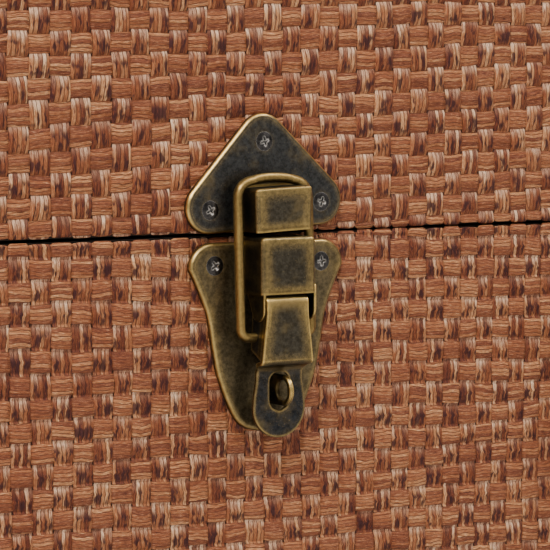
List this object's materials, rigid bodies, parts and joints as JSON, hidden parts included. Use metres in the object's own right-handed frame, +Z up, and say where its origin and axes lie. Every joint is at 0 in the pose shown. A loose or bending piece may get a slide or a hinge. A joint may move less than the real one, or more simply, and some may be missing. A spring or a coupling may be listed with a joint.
{
  "type": "suitcase record player",
  "caption": "Portable turntable in a woven-covered carrying case: hinged lid on toggle latches, belt drive, tonearm, speakers and deck controls.",
  "frame": {"origin": "on the surface it stands on, under the middle of the whole object", "axes": "+X to the right seen from the front, +Y towards the hinges, +Z up"},
  "size_m": [0.432, 0.3336, 0.1446],
  "materials": {
    "cloth": "woven natural fibre, tan over dark brown",
    "board": "bare fibreboard",
    "bronze": "antique bronze, worn to brass on the edges",
    "steel": "satin",
    "rubber": "matt",
    "leather": "grained, stitched",
    "deck": "fine texture",
    "black_plastic": "satin",
    "cream_plastic": "satin gloss",
    "aluminium": "spun",
    "felt": "short nap",
    "circuit": "lacquered",
    "lamp": "translucent red"
  },
  "bodies": {
    "base": {"base_box": "board", "base_cloth": "cloth", "rim_liner": "black_plastic", "foot_front_left": "rubber", "foot_front_right": "rubber", "foot_back_left": "rubber", "foot_back_right": "rubber", "deck_panel": "deck", "speaker_grille_left": "black_plastic", "speaker_grille_right": "black_plastic", "speaker_left": "black_plastic", "speaker_right": "black_plastic", "motor": "steel", "drive_belt": "rubber", "spindle": "steel", "circuit_board": "circuit", "rear_panel": "black_plastic", "dc_inlet": "black_plastic", "rca_sockets": "steel", "headphone_socket": "steel", "power_lamp": "lamp", "tonearm_base": "black_plastic", "tonearm_rest": "black_plastic", "hinge_leaf_base_left": "bronze", "hinge_leaf_base_right": "bronze", "hinge_pin_left": "bronze", "hinge_pin_right": "bronze", "handle_bracket_left": "bronze", "handle_bracket_right": "bronze", "latch_plate_left": "bronze", "latch_plate_right": "bronze", "padlock_eye_left": "bronze", "padlock_eye_right": "bronze"},
    "lid": {"lid_box": "board", "lid_cloth": "cloth", "strike_plate_left": "bronze", "strike_plate_right": "bronze", "hinge_leaf_lid_left": "bronze", "hinge_leaf_lid_right": "bronze"},
    "lever_left": {"latch_lever_left": "bronze"},
    "lever_right": {"latch_lever_right": "bronze"},
    "bail_left": {"latch_bail_left": "bronze"},
    "bail_right": {"latch_bail_right": "bronze"},
    "handle": {"handle_grip": "leather"},
    "platter": {"platter": "aluminium", "slipmat": "felt"},
    "pulley": {"motor_pulley": "aluminium"},
    "gimbal": {"tonearm_gimbal": "steel"},
    "arm": {"tonearm": "cream_plastic", "cartridge": "black_plastic", "stylus": "lamp"},
    "rest_clip": {"rest_clip": "black_plastic"},
    "cue_lever": {"cue_lever": "steel"},
    "volume_knob": {"volume_knob": "cream_plastic"},
    "tone_knob": {"tone_knob": "cream_plastic"},
    "speed_selector": {"speed_selector": "cream_plastic"},
    "autostop_switch": {"autostop_switch": "cream_plastic"},
    "adapter": {"adapter_45": "cream_plastic"}
  },
  "joints": [
    {"name": "lid_hinge", "type": "hinge", "parent": "base", "child": "lid", "pos_m": [0, 0.1632, 0.0863], "axis": [-1, 0, 0], "range_deg": [0, 95]},
    {"name": "latch_lever_left_pivot", "type": "hinge", "parent": "base", "child": "lever_left", "pos_m": [-0.13, -0.15672, 0.07107], "axis": [-1, 0, 0], "range_deg": [0, 85]},
    {"name": "latch_bail_left_pivot", "type": "hinge", "parent": "lever_left", "child": "bail_left", "pos_m": [-0.13, -0.15593, 0.06585], "axis": [-1, 0, 0], "range_deg": [-85, 0]},
    {"name": "latch_lever_right_pivot", "type": "hinge", "parent": "base", "child": "lever_right", "pos_m": [0.13, -0.15672, 0.07107], "axis": [-1, 0, 0], "range_deg": [0, 85]},
    {"name": "latch_bail_right_pivot", "type": "hinge", "parent": "lever_right", "child": "bail_right", "pos_m": [0.13, -0.15593, 0.06585], "axis": [-1, 0, 0], "range_deg": [-85, 0]},
    {"name": "handle_swing", "type": "hinge", "parent": "base", "child": "handle", "pos_m": [0, -0.1598, 0.061], "axis": [-1, 0, 0], "range_deg": [0, 165]},
    {"name": "platter_spin", "type": "hinge", "parent": "base", "child": "platter", "pos_m": [-0.03, 0.0042, 0.086], "axis": [0, 0, 1], "continuous": true},
    {"name": "pulley_spin", "type": "hinge", "parent": "base", "child": "pulley", "pos_m": [-0.07933, 0.07465, 0.083], "axis": [0, 0, 1], "continuous": true},
    {"name": "tonearm_swing", "type": "hinge", "parent": "base", "child": "gimbal", "pos_m": [0.128, 0.0922, 0.096], "axis": [0, 0, 1], "range_deg": [-46, 0]},
    {"name": "tonearm_lift", "type": "hinge", "parent": "gimbal", "child": "arm", "pos_m": [0.128, 0.0922, 0.106], "axis": [-1, 0, 0], "range_deg": [0, 5]},
    {"name": "cue_lever_turn", "type": "hinge", "parent": "base", "child": "cue_lever", "pos_m": [0.149, 0.0842, 0.0915], "axis": [-1, 0, 0], "range_deg": [0, 50]},
    {"name": "rest_clip_turn", "type": "hinge", "parent": "base", "child": "rest_clip", "pos_m": [0.1351, -0.0258, 0.112], "axis": [0, 1, 0], "range_deg": [-80, 0]},
    {"name": "volume_turn", "type": "hinge", "parent": "base", "child": "volume_knob", "pos_m": [0.172, -0.0458, 0.08], "axis": [0, 0, -1], "range_deg": [0, 270]},
    {"name": "tone_turn", "type": "hinge", "parent": "base", "child": "tone_knob", "pos_m": [0.172, -0.0058, 0.08], "axis": [0, 0, -1], "range_deg": [0, 270]},
    {"name": "speed_slide", "type": "slide", "parent": "base", "child": "speed_selector", "axis": [0, 1, 0], "range_m": [0, 0.016]},
    {"name": "autostop_slide", "type": "slide", "parent": "base", "child": "autostop_switch", "axis": [0, 1, 0], "range_m": [0, 0.006]},
    {"name": "adapter_lift", "type": "slide", "parent": "base", "child": "adapter", "axis": [0, 0, 1], "range_m": [0, 0.03]}
  ],
  "couplings": [
    {"joint": "latch_bail_left_pivot", "follows": "latch_lever_left_pivot", "ratio": -1},
    {"joint": "latch_bail_right_pivot", "follows": "latch_lever_right_pivot", "ratio": -1},
    {"joint": "pulley_spin", "follows": "platter_spin", "ratio": 10.13},
    {"joint": "cue_lever_turn", "follows": "tonearm_lift", "ratio": 10}
  ]
}
